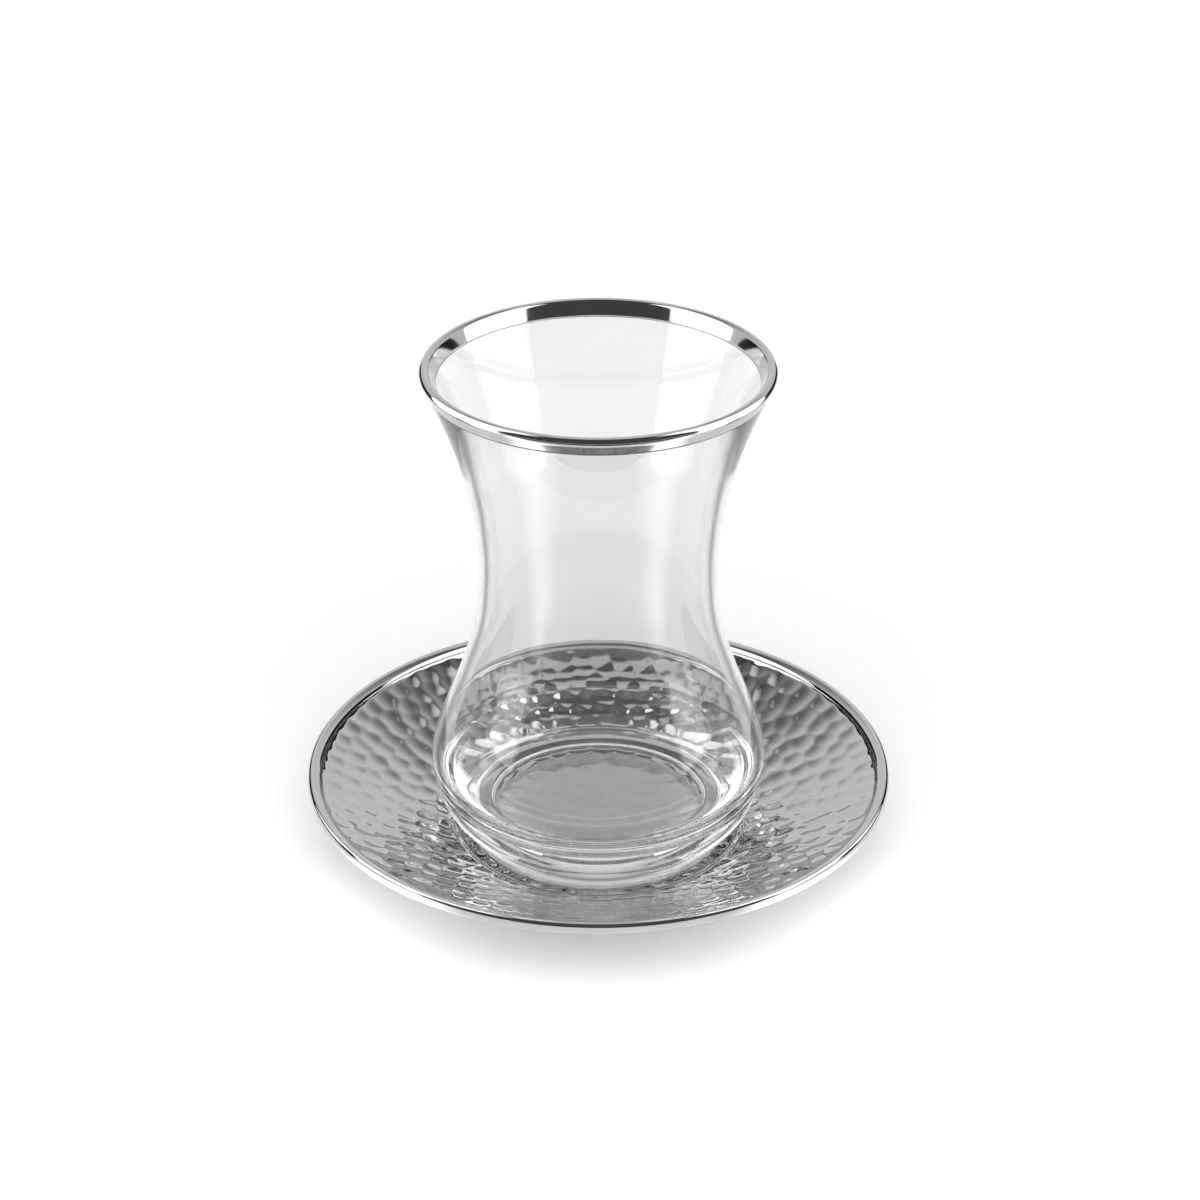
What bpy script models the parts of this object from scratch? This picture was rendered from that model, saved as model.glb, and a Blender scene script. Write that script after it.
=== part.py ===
"""Tulip-shaped tea glass with a silver lip band, standing in its hammered silver saucer.

Metres, +Z up. Glass and saucer share the Z axis, and the saucer's foot ring stands on z = 0.
The glass is one turned solid, thin in the wall and thick in the foot. The saucer is one solid
too: pressed sheet with a smooth well, a slope covered in hammer marks and a rolled rim.
"""
import math

import bmesh
import bpy
import numpy as np
from mathutils import Vector
from mathutils.geometry import delaunay_2d_cdt

MM = 0.001

# Saucer, radii from the axis and heights above the table
WELL_RADIUS = 26.4 * MM
WELL_HEIGHT = 2.8 * MM
SLOPE_START_RADIUS = 27.9 * MM
SLOPE_START_HEIGHT = 3.4 * MM
SLOPE_SAG = 0.5 * MM
SHEET_THICKNESS = 1.2 * MM
FOOT_RING_INNER_RADIUS = 24.0 * MM
FOOT_RING_OUTER_RADIUS = 27.0 * MM
FOOT_RING_TAPER = 0.4 * MM

# Rolled rim: (radius, height) stations from the groove inside it, over the top and back under
RIM_STATIONS = [
    (52.45 * MM, 14.00 * MM),
    (52.60 * MM, 14.42 * MM),
    (52.90 * MM, 14.82 * MM),
    (53.35 * MM, 15.13 * MM),
    (53.85 * MM, 15.34 * MM),
    (54.30 * MM, 15.40 * MM),
    (54.65 * MM, 15.28 * MM),
    (54.88 * MM, 15.00 * MM),
    (54.98 * MM, 14.60 * MM),
    (55.00 * MM, 14.20 * MM),
    (54.96 * MM, 13.80 * MM),
    (54.75 * MM, 13.45 * MM),
    (54.40 * MM, 13.27 * MM),
    (53.90 * MM, 13.20 * MM),
]
GROOVE_RADIUS, GROOVE_HEIGHT = RIM_STATIONS[0]

# Hammer marks, shallow bowls in rows round the slope
HAMMER_PITCH = 4.3 * MM
HAMMER_DEPTH = 0.28 * MM
HAMMER_ROWS = 7
HAMMER_WANDER = 0.24
HAMMER_SEED = 11

# Glass, heights above its own foot
GLASS_SEAT_GAP = 0.3 * MM
FOOT_RADIUS = 24.2 * MM
FOOT_EDGE_ROUNDING = 0.4 * MM
FOOT_RECESS_RADIUS = 20.0 * MM
FOOT_RECESS_DEPTH = 0.8 * MM
FOOT_RECESS_BEVEL = 1.0 * MM
CAVITY_FLOOR_HEIGHT = 7.9 * MM
CAVITY_FLOOR_RADIUS = 20.0 * MM
LIP_THICKNESS = 1.9 * MM
LIP_RADIUS = 30.83 * MM
LIP_HEIGHT = 93.37 * MM
LIP_LEAN = math.radians(24.0)

# Outer outline of the glass: (height, radius) stations of the foot and of the tulip body
FOOT_STATIONS = [(0.4 * MM, 24.2 * MM), (5.4 * MM, 28.6 * MM), (12.0 * MM, 31.0 * MM)]
BODY_STATIONS = [
    (12.3 * MM, 31.15 * MM),
    (15.8 * MM, 31.35 * MM),
    (23.0 * MM, 29.5 * MM),
    (33.0 * MM, 25.7 * MM),
    (43.0 * MM, 22.7 * MM),
    (53.0 * MM, 21.8 * MM),
    (66.0 * MM, 22.85 * MM),
    (80.0 * MM, 26.35 * MM),
    (92.98 * MM, 31.7 * MM),
]

# Wall, thinnest where the belly was blown out: (height, thickness) stations
WALL_STATIONS = [
    (15.5 * MM, 1.4 * MM),
    (32.0 * MM, 1.65 * MM),
    (50.0 * MM, 2.0 * MM),
    (70.0 * MM, 2.3 * MM),
    (90.6 * MM, 1.9 * MM),
]

# Lip band, a thin metal skin folded over the lip
BAND_THICKNESS = 0.2 * MM
BAND_GAP = 0.25 * MM
BAND_OUTER_FOOT = 91.0 * MM
BAND_INNER_FOOT = 90.6 * MM

# Facets
GLASS_SEGMENTS = 60
SAUCER_SEGMENTS = 80
WELL_SEGMENTS = 60
MERGE_DISTANCE = 1e-6


def remove_scene_objects():
    """Clears the scene, so that the script starts from nothing."""
    for item in list(bpy.data.objects):
        bpy.data.objects.remove(item, do_unlink=True)


def make_material(name, colour, metallic, roughness, transmission=0.0):
    """A Principled material of one colour."""
    material = bpy.data.materials.new(name)
    material.use_nodes = True
    shader = material.node_tree.nodes["Principled BSDF"]
    shader.inputs["Base Color"].default_value = (*colour, 1.0)
    shader.inputs["Metallic"].default_value = metallic
    shader.inputs["Roughness"].default_value = roughness
    shader.inputs["Transmission Weight"].default_value = transmission
    material.diffuse_color = (*colour, 1.0)
    return material


def finish_object(name, bm, material, lift=0.0):
    """Turns a closed bmesh into a smooth-shaded object that stands at the given height."""
    bmesh.ops.remove_doubles(bm, verts=bm.verts, dist=MERGE_DISTANCE)
    bmesh.ops.recalc_face_normals(bm, faces=bm.faces)
    mesh = bpy.data.meshes.new(name)
    bm.to_mesh(mesh)
    bm.free()
    mesh.shade_smooth()
    mesh.set_sharp_from_angle(angle=math.radians(35.0))
    mesh.materials.append(material)
    item = bpy.data.objects.new(name, mesh)
    item.location.z = lift
    bpy.context.collection.objects.link(item)
    return item


def spin_outline(bm, outline, segments, closed=False):
    """Turns (radius, height) points once round the Z axis."""
    verts = [bm.verts.new((radius, 0.0, height)) for radius, height in outline]
    edges = [bm.edges.new(pair) for pair in zip(verts, verts[1:])]
    if closed:
        edges.append(bm.edges.new((verts[-1], verts[0])))
    bmesh.ops.spin(
        bm,
        geom=verts + edges,
        cent=(0.0, 0.0, 0.0),
        axis=(0.0, 0.0, 1.0),
        angle=2.0 * math.pi,
        steps=segments,
        use_merge=True,
    )


def arc(centre, radius, start, stop, steps):
    """Points (radius, height) on a circular arc, angles from the outward direction."""
    angles = np.linspace(start, stop, steps + 1)
    return [(centre[0] + radius * math.cos(a), centre[1] + radius * math.sin(a)) for a in angles]


# Glass outline

def outline_radius(stations, height):
    """Radius or thickness at each height on the smooth cubic curve through the stations."""
    heights, radii = np.array(stations).T
    slopes = np.gradient(radii, heights, edge_order=2)
    k = np.clip(np.searchsorted(heights, height) - 1, 0, len(heights) - 2)
    width = heights[k + 1] - heights[k]
    s = (height - heights[k]) / width
    start = (1 + 2 * s) * (1 - s) ** 2 * radii[k] + s * (1 - s) ** 2 * width * slopes[k]
    stop = s * s * (3 - 2 * s) * radii[k + 1] + s * s * (s - 1) * width * slopes[k + 1]
    return start + stop


def body_point(height, depth):
    """Point (radius, height) at a depth under the body's outer surface, square to it."""
    step = 0.1 * MM
    ends = outline_radius(BODY_STATIONS, np.array([height - step, height, height + step]))
    slope = (ends[2] - ends[0]) / (2 * step)
    length = math.hypot(1.0, slope)
    return ends[1] - depth / length, height + depth * slope / length


def glass_outline():
    """Half outline of the glass, from the axis under the foot to the axis on the cavity's floor."""
    lip_centre = (LIP_RADIUS, LIP_HEIGHT)
    set_back = BAND_THICKNESS + BAND_GAP
    underside = [
        (0.0, FOOT_RECESS_DEPTH),
        (FOOT_RECESS_RADIUS, FOOT_RECESS_DEPTH),
        (FOOT_RECESS_RADIUS + FOOT_RECESS_BEVEL, 0.0),
        (FOOT_RADIUS - FOOT_EDGE_ROUNDING, 0.0),
    ]
    foot_heights = np.linspace(FOOT_STATIONS[0][0], FOOT_STATIONS[-1][0], 6)
    foot = list(zip(outline_radius(FOOT_STATIONS, foot_heights), foot_heights))
    # Rows lie closer together round the belly, where the outline turns fastest
    body_start = BODY_STATIONS[0][0]
    body_stop = BAND_OUTER_FOOT - GLASS_SEAT_GAP
    body_heights = body_start + (body_stop - body_start) * np.linspace(0.0, 1.0, 16) ** 1.5
    body = [body_point(height, 0.0) for height in body_heights]
    body.append(body_point(body_stop, set_back))
    lip = arc(lip_centre, LIP_THICKNESS / 2 - set_back, -LIP_LEAN, math.pi - LIP_LEAN, 4)
    inner_stop = BAND_INNER_FOOT - GLASS_SEAT_GAP
    inside = [body_point(inner_stop, LIP_THICKNESS - set_back)]
    inner_heights = np.linspace(inner_stop, WALL_STATIONS[0][0], 12)
    walls = outline_radius(WALL_STATIONS, inner_heights)
    inside += [body_point(height, wall) for height, wall in zip(inner_heights, walls)]
    # The wall runs into the floor round a quarter of an ellipse
    wall_radius, wall_height = inside[-1]
    turns = np.linspace(0.0, math.pi / 2, 6)[1:]
    bowl = [
        (
            CAVITY_FLOOR_RADIUS + (wall_radius - CAVITY_FLOOR_RADIUS) * math.cos(turn),
            wall_height - (wall_height - CAVITY_FLOOR_HEIGHT) * math.sin(turn),
        )
        for turn in turns
    ]
    return underside + foot + body + lip + inside + bowl + [(0.0, CAVITY_FLOOR_HEIGHT)]


def make_glass(material, lift):
    """The tulip glass: thick foot, belly, waist and flared lip, hollow to the cavity's floor."""
    bm = bmesh.new()
    spin_outline(bm, glass_outline(), GLASS_SEGMENTS)
    return finish_object("glass", bm, material, lift)


def make_rim_band(material, lift):
    """The silver band: a thin skin up the outside of the lip, over it and down the inside."""
    lip_centre = (LIP_RADIUS, LIP_HEIGHT)
    outer_radius = LIP_THICKNESS / 2
    inner_radius = outer_radius - BAND_THICKNESS
    skin = [body_point(BAND_OUTER_FOOT, 0.0)]
    skin += arc(lip_centre, outer_radius, -LIP_LEAN, math.pi - LIP_LEAN, 6)
    skin.append(body_point(BAND_INNER_FOOT, LIP_THICKNESS))
    backing = [body_point(BAND_INNER_FOOT, LIP_THICKNESS - BAND_THICKNESS)]
    backing += arc(lip_centre, inner_radius, math.pi - LIP_LEAN, -LIP_LEAN, 4)
    backing.append(body_point(BAND_OUTER_FOOT, BAND_THICKNESS))
    bm = bmesh.new()
    spin_outline(bm, skin + backing, GLASS_SEGMENTS, closed=True)
    return finish_object("rim_band", bm, material, lift)


# Saucer

def hammer_centres():
    """Plan positions of the hammer marks, with one more row beyond each edge of the slope."""
    draw = np.random.default_rng(HAMMER_SEED)
    row_width = (GROOVE_RADIUS - SLOPE_START_RADIUS) / HAMMER_ROWS
    rows = []
    for row in range(-1, HAMMER_ROWS + 1):
        radius = SLOPE_START_RADIUS + (row + 0.5) * row_width
        count = round(2.0 * math.pi * radius / HAMMER_PITCH)
        wander = draw.uniform(-HAMMER_WANDER, HAMMER_WANDER, (2, count))
        turn = (np.arange(count) + draw.random() + wander[0]) * 2.0 * math.pi / count
        reach = radius + wander[1] * row_width
        rows.append(np.column_stack([reach * np.cos(turn), reach * np.sin(turn)]))
    return np.concatenate(rows)


def ridge_corners(centres):
    """Corners where three marks meet: the circle centres of the triangles between marks."""
    faces = delaunay_2d_cdt([Vector(c) for c in centres], [], [], 0, MERGE_DISTANCE)[2]
    a, b, c = (centres[[face[i] for face in faces]] for i in range(3))
    b, c = b - a, c - a
    double_area = 2.0 * (b[:, 0] * c[:, 1] - b[:, 1] * c[:, 0])
    bb, cc = (b**2).sum(axis=1), (c**2).sum(axis=1)
    x = (c[:, 1] * bb - b[:, 1] * cc) / double_area
    y = (b[:, 0] * cc - c[:, 0] * bb) / double_area
    return a + np.column_stack([x, y])


def upper_height(points, centres):
    """Height of the saucer's upper face: well floor, fillet, then slope less the hammer marks."""
    radius = np.hypot(points[:, 0], points[:, 1])
    along = (radius - SLOPE_START_RADIUS) / (GROOVE_RADIUS - SLOPE_START_RADIUS)
    slope = SLOPE_START_HEIGHT + (GROOVE_HEIGHT - SLOPE_START_HEIGHT) * along
    slope -= 4.0 * SLOPE_SAG * along * (1.0 - along)
    nearest = np.hypot(*(points[:, None, :] - centres[None, :, :]).T).min(axis=0)
    reach = HAMMER_PITCH / math.sqrt(3.0)
    mark = HAMMER_DEPTH * np.clip(1.0 - (nearest / reach) ** 2, 0.0, 1.0)
    on_slope = (along > 1e-4) & (along < 1.0 - 1e-4)
    height = np.where(on_slope, slope - mark, slope)
    return np.where(radius > WELL_RADIUS + MERGE_DISTANCE, height, WELL_HEIGHT)


def ring(radius, count):
    """Evenly spaced plan points on a circle."""
    turn = np.arange(count) * 2.0 * math.pi / count
    return np.column_stack([radius * np.cos(turn), radius * np.sin(turn)])


def add_upper_face(bm):
    """The well and the hammered slope, out to the groove under the rolled rim."""
    centres = hammer_centres()
    corners = ridge_corners(centres)
    marks = np.concatenate([centres, corners])
    margin = HAMMER_PITCH / 8.0
    reach = np.hypot(marks[:, 0], marks[:, 1])
    marks = marks[(reach > SLOPE_START_RADIUS + margin) & (reach < GROOVE_RADIUS - margin)]
    plan = np.concatenate([
        ring(GROOVE_RADIUS, SAUCER_SEGMENTS),
        marks,
        ring(SLOPE_START_RADIUS, WELL_SEGMENTS),
        ring(WELL_RADIUS, WELL_SEGMENTS),
        np.zeros((1, 2)),
    ])
    points, _, faces, _, _, _ = delaunay_2d_cdt([Vector(p) for p in plan], [], [], 0, MERGE_DISTANCE)
    heights = upper_height(np.array(points), centres)
    verts = [bm.verts.new((p.x, p.y, height)) for p, height in zip(points, heights)]
    for face in faces:
        bm.faces.new([verts[i] for i in face])


def saucer_underside():
    """Outline (radius, height) from the groove over the rim and back under to the axis."""
    rim_foot = RIM_STATIONS[-1]
    start = (FOOT_RING_OUTER_RADIUS + 1.5 * MM, SLOPE_START_HEIGHT - SHEET_THICKNESS)
    slope = []
    for share in (2 / 3, 1 / 3, 0.0):
        radius = start[0] + (rim_foot[0] - start[0]) * share
        height = start[1] + (rim_foot[1] - start[1]) * share - 4.0 * SLOPE_SAG * share * (1.0 - share)
        slope.append((radius, height))
    floor = WELL_HEIGHT - SHEET_THICKNESS
    foot_ring = [
        (FOOT_RING_OUTER_RADIUS, floor),
        (FOOT_RING_OUTER_RADIUS - FOOT_RING_TAPER, 0.0),
        (FOOT_RING_INNER_RADIUS + FOOT_RING_TAPER, 0.0),
        (FOOT_RING_INNER_RADIUS, floor),
    ]
    return RIM_STATIONS + slope + foot_ring + [(0.0, floor)]


def make_saucer(material):
    """The saucer: smooth well, hammered slope, rolled rim and a foot ring underneath."""
    bm = bmesh.new()
    add_upper_face(bm)
    spin_outline(bm, saucer_underside(), SAUCER_SEGMENTS)
    return finish_object("saucer", bm, material)


remove_scene_objects()
clear_glass = make_material("soda_lime_glass", (0.95, 0.96, 0.96), 0.0, 0.02, transmission=1.0)
bright_silver = make_material("silver_plate", (0.80, 0.80, 0.80), 1.0, 0.08)
silver_lustre = make_material("silver_lustre", (0.72, 0.72, 0.73), 1.0, 0.06)
glass_lift = WELL_HEIGHT + GLASS_SEAT_GAP
make_saucer(bright_silver)
make_glass(clear_glass, glass_lift)
make_rim_band(silver_lustre, glass_lift)
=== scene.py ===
"""A tulip-shaped tea glass with a silver lip band, standing in a hammered silver saucer.

Metres, +Z up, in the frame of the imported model. The foot ring of the saucer stands on z = 0.
"""
import math

import bpy
import numpy as np
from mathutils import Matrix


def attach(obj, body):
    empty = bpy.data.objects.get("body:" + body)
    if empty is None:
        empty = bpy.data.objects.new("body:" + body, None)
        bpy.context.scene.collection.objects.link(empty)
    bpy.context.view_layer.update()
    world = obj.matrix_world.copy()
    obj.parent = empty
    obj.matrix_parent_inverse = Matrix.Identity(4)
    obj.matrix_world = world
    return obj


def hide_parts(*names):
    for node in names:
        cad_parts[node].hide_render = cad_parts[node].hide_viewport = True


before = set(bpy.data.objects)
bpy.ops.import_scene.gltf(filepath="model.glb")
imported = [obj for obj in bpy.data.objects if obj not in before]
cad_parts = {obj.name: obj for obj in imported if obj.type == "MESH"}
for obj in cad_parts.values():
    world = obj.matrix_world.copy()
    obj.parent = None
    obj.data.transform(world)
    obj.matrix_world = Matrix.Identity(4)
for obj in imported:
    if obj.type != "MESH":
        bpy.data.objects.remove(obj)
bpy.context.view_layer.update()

# Saucer
# Pressed steel sheet with a bright silver plate: a well with faint marks under the glass, a slope
# struck all over with deeper round marks, and a rolled rim. It stands on the ring pressed into
# its underside.

MM = 0.001
UNDERSIDE_HEIGHT = 1.6 * MM
# Stations are (radius, height) in millimetres
FOOT_RING_STATIONS = [
    (4.0, 1.6), (12.0, 1.6), (20.0, 1.6), (23.5, 1.6), (23.8, 1.56), (24.0, 1.4), (24.2, 0.8),
    (24.4, 0.25), (24.55, 0.06), (24.8, 0.0), (25.5, 0.0), (26.2, 0.0), (26.45, 0.06),
    (26.6, 0.25), (26.8, 0.8), (27.0, 1.4), (27.3, 1.66), (27.9, 1.9), (28.5, 2.15), (29.2, 2.4),
]
RIM_STATIONS = [
    (52.45, 14.00), (52.60, 14.42), (52.90, 14.82), (53.35, 15.13), (53.85, 15.34),
    (54.30, 15.40), (54.65, 15.28), (54.88, 15.00), (54.97, 14.60), (54.99, 14.20),
    (54.95, 13.80), (54.75, 13.45), (54.40, 13.27), (53.90, 13.20),
]
GROOVE_RADIUS, GROOVE_HEIGHT = np.array(RIM_STATIONS[0]) * MM
WELL_CENTRE_RADIUS = 0.6 * MM
WELL_RADIUS = 26.4 * MM
WELL_HEIGHT = 2.8 * MM
SLOPE_START_RADIUS = 27.9 * MM
SLOPE_START_HEIGHT = 3.4 * MM
SLOPE_SAG = 0.5 * MM
HAMMER_PITCH = 4.3 * MM
HAMMER_REACH = HAMMER_PITCH / math.sqrt(3.0)
HAMMER_DEPTH = 0.28 * MM
HAMMER_ROWS = 7
HAMMER_WANDER = 0.24
HAMMER_FOOT_FADE = 0.03
HAMMER_RIM_FADE = 0.02
HAMMER_SEED = 11
RIDGE_ROUNDING = 0.9 * MM
WELL_MARK_DEPTH = 0.16 * MM
WELL_MARK_ROWS = 6
WELL_MARK_START = 0.3
WELL_MARK_SPREAD = 1.05
WELL_MARK_WANDER = 0.2
WELL_MARK_FADE = 1.0 * MM
RIM_STEPS = 3
UNDER_RINGS = 9
SLOPE_RINGS = 80
FILLET_RINGS = 7
WELL_RINGS = 28
SAUCER_TURNS = 540


def placed(name, data):
    """An object in the scene that shows the given mesh, light or camera."""
    item = bpy.data.objects.new(name, data)
    bpy.context.scene.collection.objects.link(item)
    return item


def lathe_grid(outline, turns):
    """Grid of points: each (radius, height) of the outline is carried once round the Z axis.

    Point (i, j) is (radius_i cos(t_j), radius_i sin(t_j), height_i), with t_j = 2 pi j / turns.
    """
    turn = np.arange(turns) * 2.0 * math.pi / turns
    radius, height = np.asarray(outline, float).T
    return np.stack([
        np.outer(radius, np.cos(turn)),
        np.outer(radius, np.sin(turn)),
        np.repeat(height[:, None], turns, axis=1),
    ], axis=-1)


def grid_object(name, grid, first_pole=None, last_pole=None, looped=False):
    """Object from rings of points, with quads between neighbouring rings.

    Every ring closes on itself. A pole height closes the first or last ring with a fan to the
    axis, and looped joins the last ring to the first.
    """
    rings, turns = grid.shape[:2]
    index = np.arange(rings * turns).reshape(rings, turns)
    upper = np.roll(index, -1, axis=0) if looped else index[1:]
    lower = index[:len(upper)]
    quads = np.stack([lower, np.roll(lower, -1, 1), np.roll(upper, -1, 1), upper], axis=-1)
    points = grid.reshape(-1, 3).tolist()
    faces = quads.reshape(-1, 4).tolist()
    for pole, ring in ((first_pole, index[0]), (last_pole, index[-1][::-1])):
        if pole is not None:
            fan = np.stack([np.full(turns, len(points)), np.roll(ring, -1), ring], axis=-1)
            faces += fan.tolist()
            points.append([0.0, 0.0, pole])
    mesh = bpy.data.meshes.new(name)
    mesh.from_pydata(points, [], faces)
    mesh.shade_smooth()
    return placed(name, mesh)


def hermite(share, start, start_slope, stop, stop_slope):
    """The cubic that runs from start to stop with the given slopes there, at share s of the way.

    It is (1 + 2 s) (1 - s)^2 start + s (1 - s)^2 start_slope + s^2 (3 - 2 s) stop
    - s^2 (1 - s) stop_slope, with slopes per whole length.
    """
    rest = 1.0 - share
    first = (1.0 + 2.0 * share) * rest**2 * start + share * rest**2 * start_slope
    last = share**2 * (3.0 - 2.0 * share) * stop - share**2 * rest * stop_slope
    return first + last


def spline(stations, steps):
    """Points on the smooth curve through the stations, with that many steps between two of them.

    Each piece is the Hermite cubic whose tangent at a station is half the way from the station
    before it to the one after.
    """
    stations = np.asarray(stations, float)
    tangents = np.gradient(stations, axis=0)
    piece, step = np.divmod(np.arange((len(stations) - 1) * steps), steps)
    share = (step / steps)[:, None]
    curve = hermite(
        share, stations[piece], tangents[piece], stations[piece + 1], tangents[piece + 1],
    )
    return np.concatenate([curve, stations[-1:]])


def mark_centres():
    """Plan positions of the hammer marks, in rows round the axis.

    A row holds as many marks as go into its length at the marks' pitch. One row more lies beyond
    each end of the slope. Marks on the slope are a little off their place both along their row
    and across it, and those in the well only along it.
    """
    draw = np.random.default_rng(HAMMER_SEED)
    row_width = (GROOVE_RADIUS - SLOPE_START_RADIUS) / HAMMER_ROWS
    rows = []
    for row in range(-1, HAMMER_ROWS + 1):
        radius = SLOPE_START_RADIUS + (row + 0.5) * row_width
        count = round(2.0 * math.pi * radius / HAMMER_PITCH)
        wander = draw.uniform(-HAMMER_WANDER, HAMMER_WANDER, (2, count))
        turn = (np.arange(count) + draw.random() + wander[0]) * 2.0 * math.pi / count
        reach = radius + wander[1] * row_width
        rows.append(np.column_stack([reach * np.cos(turn), reach * np.sin(turn)]))
    for row in range(WELL_MARK_ROWS):
        radius = (row + WELL_MARK_START) * row_width * WELL_MARK_SPREAD
        count = max(1, round(2.0 * math.pi * radius / HAMMER_PITCH))
        wander = draw.uniform(-WELL_MARK_WANDER, WELL_MARK_WANDER, count)
        turn = (np.arange(count) + wander) * 2.0 * math.pi / count
        rows.append(np.column_stack([radius * np.cos(turn), radius * np.sin(turn)]))
    return np.concatenate(rows)


def mark_bowls(x, y):
    """Share of a mark's depth at each plan point: 1 - (d / reach)^2, never under 0.

    d^2 is a soft minimum of the squared distances to all centres, -s log(sum(exp(-d_i^2 / s))),
    so the ridges between neighbouring bowls are rounded over about the square root of s.
    """
    softness = RIDGE_ROUNDING**2
    total = np.zeros_like(x)
    for centre_x, centre_y in mark_centres():
        total += np.exp(-((x - centre_x) ** 2 + (y - centre_y) ** 2) / softness)
    # Far from every mark the sum would round to 0, which has no logarithm
    least_total = 1e-30
    squared = -softness * np.log(np.maximum(total, least_total))
    return np.clip(1.0 - squared / HAMMER_REACH**2, 0.0, 1.0)


def sag(share):
    """How far the slope hangs under a straight cone: 4 sag a (1 - a) at share a of the way up."""
    return 4.0 * SLOPE_SAG * share * (1.0 - share)


def upper_height(x, y):
    """Height of the saucer's upper face at each plan point inside the rim.

    The slope is a cone that sags. A cubic carries it down to the well, level where it meets
    the well and as steep as the slope where it meets the slope. The marks are cut into that,
    and they fade out at the slope's two ends and at the well's edge.
    """
    radius = np.hypot(x, y)
    length = GROOVE_RADIUS - SLOPE_START_RADIUS
    rise = GROOVE_HEIGHT - SLOPE_START_HEIGHT
    along = (radius - SLOPE_START_RADIUS) / length
    slope = SLOPE_START_HEIGHT + rise * along - sag(along)
    width = SLOPE_START_RADIUS - WELL_RADIUS
    steepness = (rise - 4.0 * SLOPE_SAG) / length
    share = np.clip((radius - WELL_RADIUS) / width, 0.0, 1.0)
    fillet = hermite(share, WELL_HEIGHT, 0.0, SLOPE_START_HEIGHT, steepness * width)
    from_ends = np.minimum(along / HAMMER_FOOT_FADE, (1.0 - along) / HAMMER_RIM_FADE)
    from_edge = (WELL_RADIUS - radius) / WELL_MARK_FADE
    on_slope = HAMMER_DEPTH * np.clip(from_ends, 0.0, 1.0)
    in_well = WELL_MARK_DEPTH * np.clip(from_edge, 0.0, 1.0)
    return np.where(along > 0.0, slope, fillet) - (on_slope + in_well) * mark_bowls(x, y)


def saucer_grid():
    """Rings from under the well, out over the foot ring and the rim, and back in to the well."""
    foot_ring = np.array(FOOT_RING_STATIONS) * MM
    rim = spline(RIM_STATIONS, RIM_STEPS)[::-1] * MM
    share = np.linspace(0.0, 1.0, UNDER_RINGS)[1:-1, None]
    under = foot_ring[-1] + (rim[0] - foot_ring[-1]) * share
    under[:, 1:] -= sag(share)
    upper_radius = np.concatenate([
        np.linspace(GROOVE_RADIUS, SLOPE_START_RADIUS, SLOPE_RINGS)[1:],
        np.linspace(SLOPE_START_RADIUS, WELL_RADIUS, FILLET_RINGS)[1:],
        np.linspace(WELL_RADIUS, WELL_CENTRE_RADIUS, WELL_RINGS)[1:],
    ])
    upper_outline = np.column_stack([upper_radius, np.zeros_like(upper_radius)])
    outline = np.concatenate([foot_ring, under, rim, upper_outline])
    grid = lathe_grid(outline, SAUCER_TURNS)
    upper = grid[-len(upper_radius):]
    upper[..., 2] = upper_height(upper[..., 0], upper[..., 1])
    return grid


def linear(hex_colour):
    """Linear RGBA of an sRGB hex colour: ((c + 0.055) / 1.055) ** 2.4, or c / 12.92 in the dark."""
    channels = [int(hex_colour[i:i + 2], 16) / 255.0 for i in (1, 3, 5)]
    return [c / 12.92 if c <= 0.04045 else ((c + 0.055) / 1.055) ** 2.4 for c in channels] + [1.0]


def add_node(tree, kind, inputs=None, **settings):
    """A shader node. Settings are its properties, and inputs gives sockets values or links."""
    item = tree.nodes.new(kind)
    for key, value in settings.items():
        setattr(item, key, value)
    set_inputs(tree, item, inputs or {})
    return item


def set_inputs(tree, item, inputs):
    """Gives each named socket a value, or a link from an output or from a node's first one."""
    for key, value in inputs.items():
        if isinstance(value, bpy.types.Node):
            value = next(socket for socket in value.outputs if socket.enabled)
        if isinstance(value, bpy.types.NodeSocket):
            tree.links.new(value, item.inputs[key])
        else:
            item.inputs[key].default_value = value


def new_material(name):
    """A node material, its tree and its Principled shader."""
    material = bpy.data.materials.new(name)
    material.use_nodes = True
    return material, material.node_tree, material.node_tree.nodes["Principled BSDF"]


def silver_plate():
    """Electroplated silver over pressed steel, buffed bright.

    The buffing leaves it almost a mirror, a little cloudier in patches some 15 mm wide, with a
    grain finer than half a millimetre that only softens the reflections.
    """
    material, tree, shader = new_material("buffed_silver_plate")
    place = add_node(tree, "ShaderNodeTexCoord").outputs["Object"]
    cloud = add_node(tree, "ShaderNodeTexNoise", {
        "Vector": place, "Scale": 1.0 / (15.0 * MM), "Detail": 4.0,
    })
    tone = add_node(tree, "ShaderNodeMapRange", {
        "Value": cloud, "From Min": 0.3, "From Max": 0.7, "To Min": 0.03, "To Max": 0.07,
    })
    tint = add_node(tree, "ShaderNodeMix", {
        "Factor": cloud, "A": linear("#BABABB"), "B": linear("#C6C6C6"),
    }, data_type="RGBA")
    grain = add_node(tree, "ShaderNodeTexNoise", {
        "Vector": place, "Scale": 1.0 / (0.4 * MM), "Detail": 3.0,
    })
    bump = add_node(tree, "ShaderNodeBump", {
        "Height": grain, "Strength": 0.05, "Distance": 0.02 * MM,
    })
    set_inputs(tree, shader, {
        "Base Color": tint, "Metallic": 1.0, "Roughness": tone, "Normal": bump,
    })
    return material


saucer = grid_object("saucer_plate", saucer_grid(), UNDERSIDE_HEIGHT, WELL_HEIGHT)
saucer.data.materials.append(silver_plate())
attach(saucer, "root")
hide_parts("saucer")

# Glass
# Clear soda-lime glass, blown in a mould: a thick foot, a seam line where foot and belly meet,
# a narrow waist and a flared lip. It stands loose in the saucer's well.

GLASS_GAP = 0.3 * MM
GLASS_LIFT = WELL_HEIGHT + GLASS_GAP
RECESS_HEIGHT = 0.8 * MM
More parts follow.
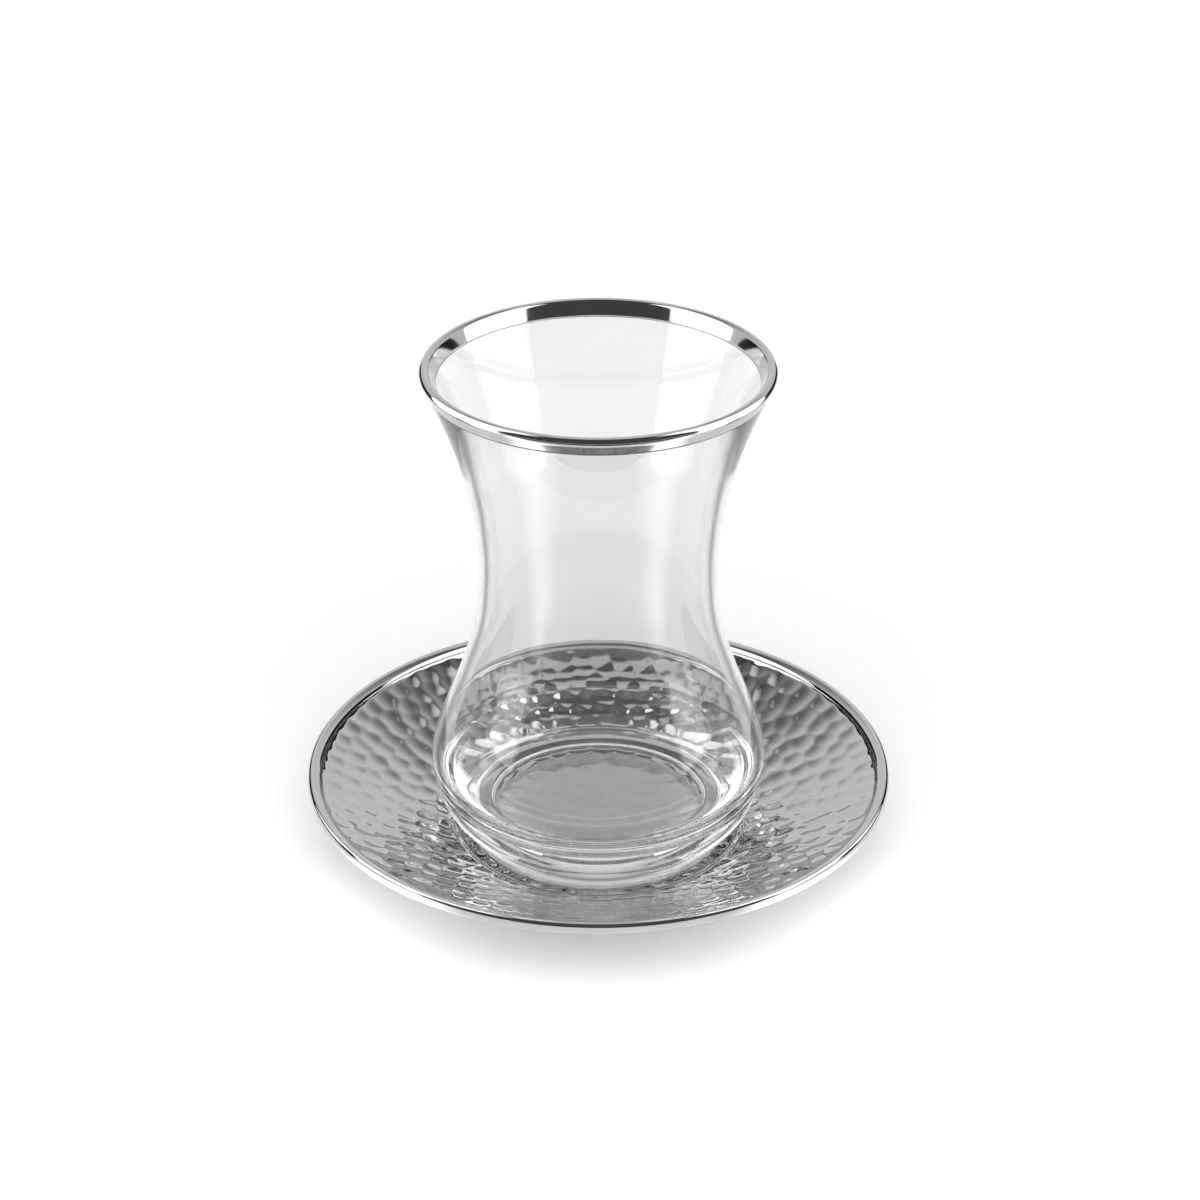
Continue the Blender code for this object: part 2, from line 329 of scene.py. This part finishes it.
# Stations under the foot are (radius, height), those of foot and body (height, radius), and
# those of the wall (height, thickness), in millimetres from where the glass stands
RECESS_STATIONS = [
    (3.0, 0.8), (8.0, 0.8), (14.0, 0.8), (18.0, 0.79), (19.6, 0.76), (20.1, 0.68), (20.4, 0.45),
    (20.7, 0.2), (21.0, 0.05), (21.5, 0.0), (22.6, 0.0), (23.6, 0.0),
]
FOOT_EDGE_RADIUS = 0.4 * MM
FOOT_EDGE_CENTRE = (23.8 * MM, FOOT_EDGE_RADIUS)
FOOT_EDGE_START = math.radians(-80.0)
FOOT_STATIONS = [(0.4, 24.2), (5.4, 28.6), (12.0, 31.0)]
BODY_STATIONS = [
    (12.3, 31.15), (15.8, 31.35), (23.0, 29.5), (33.0, 25.7), (43.0, 22.7),
    (53.0, 21.8), (66.0, 22.85), (80.0, 26.35), (92.98, 31.7),
]
WALL_STATIONS = [(15.5, 1.4), (32.0, 1.65), (50.0, 2.0), (70.0, 2.3), (90.6, 1.9)]
FLOOR_START_RADIUS = 20.0 * MM
FLOOR_HEIGHT = 7.9 * MM
FLOOR_RADII = np.array([17.0, 12.0, 7.0, 3.0]) * MM
LIP_THICKNESS = 1.9 * MM
LIP_CENTRE = (30.83 * MM, 93.36 * MM)
LIP_LEAN = math.radians(24.0)
BAND_FOOT_OUTSIDE = 91.0 * MM
BAND_FOOT_INSIDE = 90.6 * MM
BAND_SEAT = 0.08 * MM
BAND_OVERLAP = 0.2 * MM
FOOT_EDGE_RINGS = 6
FOOT_RINGS = 26
BODY_RINGS = 96
LIP_RINGS = 16
WALL_RINGS = 90
BOWL_RINGS = 22
GLASS_TURNS = 288


def arc(centre, radius, start, stop, count):
    """Points (radius, height) on a circle about a centre, angles from the outward direction."""
    angle = np.linspace(start, stop, count)
    return np.column_stack([centre[0] + radius * np.cos(angle), centre[1] + radius * np.sin(angle)])


def outline_radius(stations, height):
    """Radius, or wall thickness, at each height on the cubic curve through the stations.

    Between two stations it is the Hermite cubic of their radii and slopes, and each slope is the
    second-order difference of the radii on both sides.
    """
    heights, radii = np.array(stations).T * MM
    slopes = np.gradient(radii, heights, edge_order=2)
    piece = np.clip(np.searchsorted(heights, height) - 1, 0, len(heights) - 2)
    width = heights[piece + 1] - heights[piece]
    share = (height - heights[piece]) / width
    return hermite(
        share, radii[piece], width * slopes[piece], radii[piece + 1], width * slopes[piece + 1],
    )


def body_points(height, depth):
    """Points (radius, height) at a depth under the body's outer surface, square to it."""
    step = 0.1 * MM
    above = outline_radius(BODY_STATIONS, height + step)
    below = outline_radius(BODY_STATIONS, height - step)
    slope = (above - below) / (2.0 * step)
    length = np.hypot(1.0, slope)
    radius = outline_radius(BODY_STATIONS, height)
    return np.column_stack([radius - depth / length, height + depth * slope / length])


def lip_points(depth, count):
    """Points at a depth under the rounded lip's surface, from the outside over to the inside."""
    return arc(LIP_CENTRE, LIP_THICKNESS / 2.0 - depth, -LIP_LEAN, math.pi - LIP_LEAN, count)


def glass_outline():
    """From the axis under the foot, up the outside, over the lip and down to the cavity's floor.

    The cavity's bowl is a quarter of an ellipse from the wall's foot to the level floor. Under
    the lip band the glass is set back a little, so the band doesn't cut through it.
    """
    foot_edge = arc(FOOT_EDGE_CENTRE, FOOT_EDGE_RADIUS, FOOT_EDGE_START, 0.0, FOOT_EDGE_RINGS)
    foot_start, foot_stop = FOOT_STATIONS[0][0] * MM, FOOT_STATIONS[-1][0] * MM
    foot_height = np.linspace(foot_start, foot_stop, FOOT_RINGS)[1:]
    foot = np.column_stack([outline_radius(FOOT_STATIONS, foot_height), foot_height])
    body_start, body_stop = BODY_STATIONS[0][0] * MM, BAND_FOOT_OUTSIDE + BAND_OVERLAP
    body = body_points(np.linspace(body_start, body_stop, BODY_RINGS), 0.0)
    wall_height = np.linspace(BAND_FOOT_INSIDE, WALL_STATIONS[0][0] * MM, WALL_RINGS)
    wall = body_points(wall_height, outline_radius(WALL_STATIONS, wall_height))
    bowl_width, bowl_height = wall[-1] - (FLOOR_START_RADIUS, FLOOR_HEIGHT)
    turn = np.linspace(0.0, math.pi / 2.0, BOWL_RINGS)[1:]
    bowl = np.column_stack([
        FLOOR_START_RADIUS + bowl_width * np.cos(turn),
        wall[-1, 1] - bowl_height * np.sin(turn),
    ])
    floor = np.column_stack([FLOOR_RADII, np.full_like(FLOOR_RADII, FLOOR_HEIGHT)])
    outline = np.concatenate([
        np.array(RECESS_STATIONS) * MM,
        foot_edge,
        foot,
        body,
        lip_points(BAND_SEAT, LIP_RINGS),
        wall,
        bowl,
        floor,
    ])
    outline[:, 1] += GLASS_LIFT
    return outline


def clear_glass():
    """Clear soda-lime glass, fire-polished.

    The mould leaves slow waves a few hundredths of a millimetre high round the wall, which bend
    what is seen through it. Where the outside is seen nearly edge on, more glass lies in the way,
    and a thin dark line of painted shade is drawn down each side, much darker than that glass
    alone would make it.
    """
    material, tree, shader = new_material("clear_soda_lime_glass")
    coordinates = add_node(tree, "ShaderNodeTexCoord")
    place = coordinates.outputs["Object"]
    wave = add_node(tree, "ShaderNodeTexNoise", {
        "Vector": place, "Scale": 1.0 / (10.0 * MM), "Detail": 1.0,
    })
    bump = add_node(tree, "ShaderNodeBump", {
        "Height": wave, "Strength": 0.4, "Distance": 0.08 * MM,
    })
    # Painted edge shade rises and falls again as the surface turns edge on, each as a smooth step
    facing = add_node(tree, "ShaderNodeLayerWeight", {"Blend": 0.5}).outputs["Facing"]
    rise = add_node(tree, "ShaderNodeMapRange", {
        "Value": facing, "From Min": 0.61, "From Max": 0.71, "To Min": 0.0, "To Max": 1.0,
    }, interpolation_type="SMOOTHSTEP")
    fall = add_node(tree, "ShaderNodeMapRange", {
        "Value": facing, "From Min": 0.72, "From Max": 0.82, "To Min": 1.0, "To Max": 0.15,
    }, interpolation_type="SMOOTHSTEP")
    edge = add_node(tree, "ShaderNodeMath", {0: rise, 1: fall}, operation="MULTIPLY")
    # The outside is where the surface's direction points away from the axis, so the dot product
    # of that direction and the place across the axis is over 0
    across = add_node(tree, "ShaderNodeVectorMath", {
        0: place, 1: (1.0, 1.0, 0.0),
    }, operation="MULTIPLY")
    outward = add_node(tree, "ShaderNodeVectorMath", {
        0: across, 1: coordinates.outputs["Normal"],
    }, operation="DOT_PRODUCT")
    outside = add_node(tree, "ShaderNodeMapRange", {
        "Value": outward, "From Min": -0.001, "From Max": 0.001, "To Min": 0.2, "To Max": 1.0,
    })
    # Painted shade: the dark line down each side, full on the outside and a fifth as strong inside
    painted_edge_shade = add_node(tree, "ShaderNodeMath", {0: edge, 1: outside}, operation="MULTIPLY")
    tint = add_node(tree, "ShaderNodeMix", {
        "Factor": painted_edge_shade, "A": linear("#F0F0F0"), "B": linear("#545454"),
    }, data_type="RGBA")
    set_inputs(tree, shader, {
        "Base Color": tint,
        "Roughness": 0.0,
        "IOR": 1.52,
        "Transmission Weight": 1.0,
        "Normal": bump,
    })
    return material


glass_grid = lathe_grid(glass_outline(), GLASS_TURNS)
glass = grid_object("tea_glass", glass_grid, RECESS_HEIGHT + GLASS_LIFT, FLOOR_HEIGHT + GLASS_LIFT)
glass.data.materials.append(clear_glass())
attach(glass, "root")
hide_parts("glass")

# Lip band
# Silver lustre brushed round the lip and fired on: a metal skin that runs a few millimetres down
# the outside, over the rounded lip and a little way down the inside.

BAND_THICKNESS = 0.05 * MM
BAND_TOP_OUTSIDE = 92.7 * MM
BAND_TOP_INSIDE = 92.5 * MM
BAND_SIDE_RINGS = 6
BAND_LIP_RINGS = 30


def band_outline():
    """Closed outline of the skin: its bright face over the lip, then its back under it."""
    outer_height = np.linspace(BAND_FOOT_OUTSIDE, BAND_TOP_OUTSIDE, BAND_SIDE_RINGS)
    inner_height = np.linspace(BAND_TOP_INSIDE, BAND_FOOT_INSIDE, BAND_SIDE_RINGS)
    outline = np.concatenate([
        body_points(outer_height, 0.0),
        lip_points(0.0, BAND_LIP_RINGS),
        body_points(inner_height, LIP_THICKNESS),
        body_points(inner_height, LIP_THICKNESS - BAND_THICKNESS)[::-1],
        lip_points(BAND_THICKNESS, BAND_LIP_RINGS)[::-1],
        body_points(outer_height, BAND_THICKNESS)[::-1],
    ])
    outline[:, 1] += GLASS_LIFT
    return outline


def silver_lustre():
    """A fired film of silver on glass, as smooth as the glass under it.

    Brushing it on leaves its tone a little uneven, in patches some 6 mm wide.
    """
    material, tree, shader = new_material("fired_silver_lustre")
    place = add_node(tree, "ShaderNodeTexCoord").outputs["Object"]
    cloud = add_node(tree, "ShaderNodeTexNoise", {
        "Vector": place, "Scale": 1.0 / (6.0 * MM), "Detail": 3.0,
    })
    tone = add_node(tree, "ShaderNodeMapRange", {
        "Value": cloud, "From Min": 0.3, "From Max": 0.7, "To Min": 0.05, "To Max": 0.09,
    })
    tint = add_node(tree, "ShaderNodeMix", {
        "Factor": cloud, "A": linear("#B4B4B6"), "B": linear("#C2C2C3"),
    }, data_type="RGBA")
    set_inputs(tree, shader, {"Base Color": tint, "Metallic": 1.0, "Roughness": tone})
    return material


band = grid_object("lip_band", lathe_grid(band_outline(), GLASS_TURNS), looped=True)
band.data.materials.append(silver_lustre())
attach(band, "root")
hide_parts("rim_band")

# Table and black pieces
# The table is smooth white card. A low folded card stands behind each side of the saucer and a
# mat lies in front of it, all black felt on board. The black pieces show only in reflections,
# where they draw the dark lines in the rims.

TABLE_SIDES = (-2.0, 2.0)
TABLE_ENDS = (-2.0, 3.0)
# A card's foot line and height, as (x, y, height) in metres
CARD_STATIONS = [(0.118, -0.020, 0.050), (0.148, 0.085, 0.12), (0.215, 0.457, 0.17)]
CARD_FOOT = 0.001
MAT_SIDES = (-0.5, 0.5)
MAT_ENDS = (-0.7, -0.17)
MAT_HEIGHT = 0.0005


def level_mesh(name, sides, ends, height=0.0):
    """Mesh of one level rectangle, between two x values and two y values."""
    left, right = sides
    front, back = ends
    corners = [(left, front), (right, front), (right, back), (left, back)]
    mesh = bpy.data.meshes.new(name)
    mesh.from_pydata([(x, y, height) for x, y in corners], [], [(0, 1, 2, 3)])
    return mesh


def standing_card(name, side):
    """A folded card on edge along the line of its stations, on the side -1 or 1."""
    x, y, height = np.array(CARD_STATIONS).T
    foot = np.column_stack([side * x, y, np.full_like(x, CARD_FOOT)])
    top = np.column_stack([side * x, y, height])
    fold = np.arange(len(x) - 1)
    faces = np.column_stack([fold, fold + 1, fold + 1 + len(x), fold + len(x)])
    mesh = bpy.data.meshes.new(name)
    mesh.from_pydata(np.concatenate([foot, top]).tolist(), [], faces.tolist())
    return placed(name, mesh)


def hide_from(item, *kinds):
    """Hides an object from the named kinds of light path, such as camera or shadow."""
    for kind in kinds:
        setattr(item, f"visible_{kind}", False)


def white_card():
    """Smooth white card, with a faint tooth and a tone that varies by a few hundredths."""
    material, tree, shader = new_material("white_card")
    place = add_node(tree, "ShaderNodeTexCoord").outputs["Object"]
    tooth = add_node(tree, "ShaderNodeTexNoise", {
        "Vector": place, "Scale": 1.0 / (0.6 * MM), "Detail": 3.0,
    })
    tint = add_node(tree, "ShaderNodeMix", {
        "Factor": tooth, "A": linear("#F0F0F0"), "B": linear("#F4F4F4"),
    }, data_type="RGBA")
    bump = add_node(tree, "ShaderNodeBump", {
        "Height": tooth, "Strength": 0.1, "Distance": 0.03 * MM,
    })
    set_inputs(tree, shader, {"Base Color": tint, "Roughness": 0.9, "Normal": bump})
    return material


def black_felt():
    """Black felt glued on board, its nap a millimetre wide."""
    material, tree, shader = new_material("black_felt")
    place = add_node(tree, "ShaderNodeTexCoord").outputs["Object"]
    nap = add_node(tree, "ShaderNodeTexNoise", {"Vector": place, "Scale": 1.0 / (1.0 * MM)})
    tint = add_node(tree, "ShaderNodeMix", {
        "Factor": nap, "A": linear("#0A0A0A"), "B": linear("#161616"),
    }, data_type="RGBA")
    set_inputs(tree, shader, {"Base Color": tint, "Roughness": 1.0})
    return material


floor = placed("floor", level_mesh("floor", TABLE_SIDES, TABLE_ENDS))
floor.data.materials.append(white_card())
cards = [standing_card(f"card_{side + 1}", side) for side in (-1, 1)]
mat = placed("mat", level_mesh("mat", MAT_SIDES, MAT_ENDS, MAT_HEIGHT))
felt = black_felt()
for item in (mat, *cards):
    item.data.materials.append(felt)
    hide_from(item, "camera", "transmission", "diffuse", "shadow")

# Lit strips
# Diffuser film lit from under it lies on the table, one strip to each side of the mat. They show
# only in reflections, where they draw the soft upright bands in the glass.

STRIP_SPAN = (0.05, 0.20)
STRIP_SIDES = (-0.030, 0.030)
STRIP_HEIGHT = 0.001
STRIP_TURN = 54.0
STRIP_RADIANCE = 3.2


def bare_material(name):
    """A node material with an empty tree, and that tree."""
    material = bpy.data.materials.new(name)
    material.use_nodes = True
    material.node_tree.nodes.clear()
    return material, material.node_tree


def diffuser_film():
    """Diffuser film lit from under it, brightest along the middle line.

    Its light fades to nothing 30 mm from that line, as a smooth step of the distance.
    """
    material, tree = bare_material("lit_diffuser_film")
    place = add_node(tree, "ShaderNodeTexCoord").outputs["Object"]
    across = add_node(tree, "ShaderNodeSeparateXYZ", {"Vector": place}).outputs["Y"]
    distance = add_node(tree, "ShaderNodeMath", {0: across}, operation="ABSOLUTE")
    fade = add_node(tree, "ShaderNodeMapRange", {
        "Value": distance, "From Min": 0.001, "From Max": 0.030, "To Min": 1.0, "To Max": 0.0,
    }, interpolation_type="SMOOTHSTEP")
    film = add_node(tree, "ShaderNodeMixShader", {
        "Fac": fade,
        1: add_node(tree, "ShaderNodeBsdfTransparent"),
        2: add_node(tree, "ShaderNodeEmission", {"Strength": STRIP_RADIANCE}),
    })
    add_node(tree, "ShaderNodeOutputMaterial", {"Surface": film})
    return material


strip_mesh = level_mesh("strip", STRIP_SPAN, STRIP_SIDES)
strip_mesh.materials.append(diffuser_film())
for side in (-1, 1):
    strip = placed(f"strip_{side + 1}", strip_mesh)
    strip.location.z = STRIP_HEIGHT
    strip.rotation_euler.z = math.radians(-90.0 + side * STRIP_TURN)
    hide_from(strip, "camera", "diffuse", "transmission", "shadow")

# Backdrop
# White paper, lit evenly from behind, hangs all round the table. Only the camera sees it,
# past the part and through the glass.

BACKDROP_RADIUS = 1.9
BACKDROP_HEIGHT = 3.0
BACKDROP_TURNS = 96


def backdrop_paper():
    """White paper lit evenly from behind."""
    material, tree = bare_material("lit_backdrop_paper")
    paper = add_node(tree, "ShaderNodeEmission", {"Strength": 1.0})
    add_node(tree, "ShaderNodeOutputMaterial", {"Surface": paper})
    return material


backdrop_outline = [(BACKDROP_RADIUS, 0.0), (BACKDROP_RADIUS, BACKDROP_HEIGHT)]
backdrop = grid_object("backdrop", lathe_grid(backdrop_outline, BACKDROP_TURNS))
backdrop.data.materials.append(backdrop_paper())
hide_from(backdrop, "diffuse", "glossy", "shadow")

# Softboxes and lamps
# A tall softbox close to each side lights the metal and the glass. A wide lamp high in front and
# an even one without shadows reach only matt surfaces, so they draw no mark in glass or metal.

SOFTBOX_PLACE = (0.125, -0.014, 0.215)
SOFTBOX_WIDTH = 0.132
SOFTBOX_HEIGHT = 0.36
SOFTBOX_RADIANCE = 2.3
FILL_POWER = 3.7
FILL_SPREAD = math.radians(88.0)
FILL_TILT = math.radians(36.0)
EVEN_POWER = 0.76


def softbox(name, side):
    """A rectangular light on the side -1 or 1 that faces the middle plane.

    Its energy is radiance times pi times its area, which makes it equally bright all over.
    """
    light = bpy.data.lights.new(name, "AREA")
    light.shape = "RECTANGLE"
    light.size = SOFTBOX_WIDTH
    light.size_y = SOFTBOX_HEIGHT
    light.energy = SOFTBOX_RADIANCE * math.pi * SOFTBOX_WIDTH * SOFTBOX_HEIGHT
    item = placed(name, light)
    across, along, height = SOFTBOX_PLACE
    item.location = (side * across, along, height)
    item.rotation_euler = (math.pi / 2.0, 0.0, side * math.pi / 2.0)
    return item


def matt_lamp(name, power, tilt):
    """A far lamp, tilted forward from straight above, that reaches only matt surfaces."""
    light = bpy.data.lights.new(name, "SUN")
    light.energy = power
    item = placed(name, light)
    item.rotation_euler.x = tilt
    hide_from(item, "glossy", "transmission")
    return item


for side in (-1, 1):
    hide_from(softbox(f"softbox_{side + 1}", side), "diffuse")
fill = matt_lamp("fill", FILL_POWER, FILL_TILT)
fill.data.angle = FILL_SPREAD
even = matt_lamp("even", EVEN_POWER, 0.0)
even.data.use_shadow = False

# Room
# What reflections see past the table: behind it a white wall that darkens upwards, with a paler
# panel in its middle, and a pale screen high in front of it. The rest of the room is dark.

# Each fade is (start, stop, level at start, level at stop)
BEHIND_START = (0.0, 0.1, 0.0, 1.0)
BEHIND_LEAN = (0.12, 0.24, 0.0, 1.0)
WALL_TOP = (0.40, 0.92, 0.88, 0.15)
SCREEN_SIDE = (0.20, 0.50, 0.95, 0.0)
SCREEN_FOOT = (0.6, 0.8, 0.0, 1.0)
PANEL_SIDE = (0.16, 0.26, 0.95, 0.0)
PANEL_TOP = (0.70, 0.85, 1.0, 0.0)
ROOM_LEVEL = 0.09
LEAST_HEIGHT = 0.01


def room_light():
    """World light by direction (x, y, z), a unit vector with y away from the camera.

    The wall is a fade in z, the panel a fade in x times one in z, and the screen a fade in x / z
    times one in z. The brightest of the three counts, times fades in y and in y / z.
    """
    world = bpy.data.worlds.new("studio")
    world.use_nodes = True
    tree = world.node_tree
    generated = add_node(tree, "ShaderNodeTexCoord").outputs["Generated"]
    direction = add_node(tree, "ShaderNodeSeparateXYZ", {"Vector": generated})
    depth = direction.outputs["Y"]
    height = direction.outputs["Z"]
    across = add_node(tree, "ShaderNodeMath", {0: direction.outputs["X"]}, operation="ABSOLUTE")
    rise = add_node(tree, "ShaderNodeMath", {0: height, 1: LEAST_HEIGHT}, operation="MAXIMUM")
    lean = add_node(tree, "ShaderNodeMath", {0: depth, 1: rise}, operation="DIVIDE")
    spread = add_node(tree, "ShaderNodeMath", {0: across, 1: rise}, operation="DIVIDE")
    fades = []
    for value, (start, stop, low, high) in (
        (depth, BEHIND_START), (lean, BEHIND_LEAN), (height, WALL_TOP),
        (spread, SCREEN_SIDE), (height, SCREEN_FOOT), (across, PANEL_SIDE), (height, PANEL_TOP),
    ):
        fades.append(add_node(tree, "ShaderNodeMapRange", {
            "Value": value, "From Min": start, "From Max": stop, "To Min": low, "To Max": high,
        }, interpolation_type="SMOOTHSTEP"))
    behind = add_node(tree, "ShaderNodeMath", {0: fades[0], 1: fades[1]}, operation="MULTIPLY")
    wall = fades[2]
    screen = add_node(tree, "ShaderNodeMath", {0: fades[3], 1: fades[4]}, operation="MULTIPLY")
    panel = add_node(tree, "ShaderNodeMath", {0: fades[5], 1: fades[6]}, operation="MULTIPLY")
    brighter = add_node(tree, "ShaderNodeMath", {0: screen, 1: panel}, operation="MAXIMUM")
    brightest = add_node(tree, "ShaderNodeMath", {0: wall, 1: brighter}, operation="MAXIMUM")
    lit = add_node(tree, "ShaderNodeMath", {0: brightest, 1: behind}, operation="MULTIPLY")
    level = add_node(tree, "ShaderNodeMath", {0: lit, 1: ROOM_LEVEL}, operation="MAXIMUM")
    set_inputs(tree, tree.nodes["Background"], {"Strength": level, "Color": (1.0, 1.0, 1.0, 1.0)})
    world.cycles_visibility.diffuse = False
    return world


bpy.context.scene.world = room_light()

# Camera
# The photo's camera, fitted to the outlines of the saucer's rim and the glass's lip: 0.57 m
# from the part, looking down 28 degrees.

CAMERA_LENS = 89.36
CAMERA_SENSOR = 36.0
CAMERA_CLIP = 0.01
CAMERA_PLACE = (0.00029, -0.48476, 0.30872)
CAMERA_DIP = 28.075
# A path crosses the glass up to four times on its way to the saucer, and again on its way back
GLASS_BOUNCES = 24
METAL_BOUNCES = 12

camera = placed("camera", bpy.data.cameras.new("camera"))
camera.data.lens = CAMERA_LENS
camera.data.sensor_width = CAMERA_SENSOR
camera.data.clip_start = CAMERA_CLIP
camera.location = CAMERA_PLACE
camera.rotation_euler.x = math.radians(90.0 - CAMERA_DIP)
bpy.context.scene.camera = camera
bpy.context.scene.view_settings.view_transform = "Standard"
bpy.context.scene.cycles.max_bounces = GLASS_BOUNCES
bpy.context.scene.cycles.transmission_bounces = GLASS_BOUNCES
bpy.context.scene.cycles.glossy_bounces = METAL_BOUNCES
